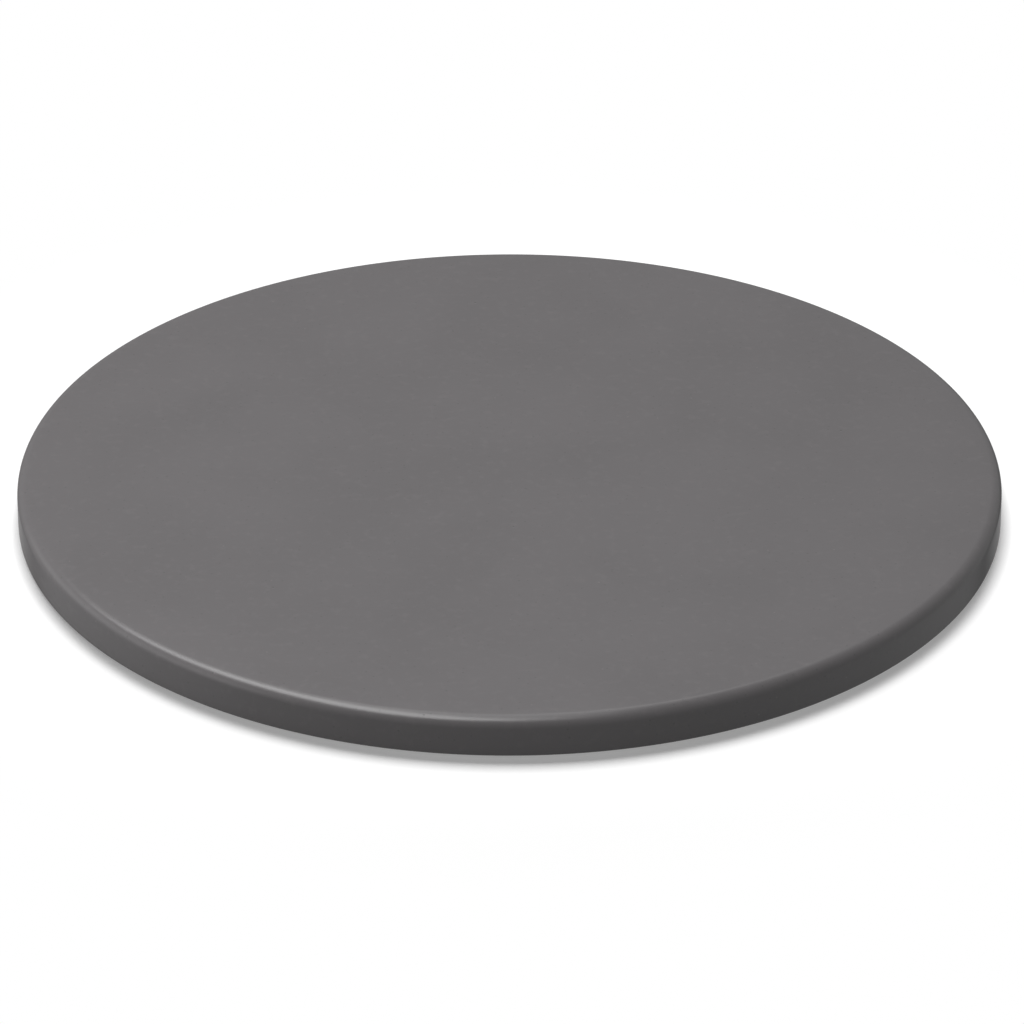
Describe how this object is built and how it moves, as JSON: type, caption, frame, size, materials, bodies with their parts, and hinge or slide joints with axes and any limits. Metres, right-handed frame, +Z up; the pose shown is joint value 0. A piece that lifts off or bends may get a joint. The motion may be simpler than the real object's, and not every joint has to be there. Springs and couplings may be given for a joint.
{
  "type": "pizza stone",
  "caption": "Round flat baking stone for pizza and bread: a thick ceramic disc with a softly rounded rim, satin dark grey glaze and a bare flat underside.",
  "frame": {"origin": "centre of the flat bare underside, on the surface that the stone lies on", "axes": "+Z up, out of the baking face, along the disc's axis; +X and +Y are any two directions across the disc, which is the same all round"},
  "size_m": [0.3599, 0.36, 0.015],
  "materials": {
    "bare_ceramic": "matte",
    "glaze": "satin"
  },
  "bodies": {
    "root": {"stone_body": "bare_ceramic", "glaze_coat": "glaze"}
  },
  "joints": []
}
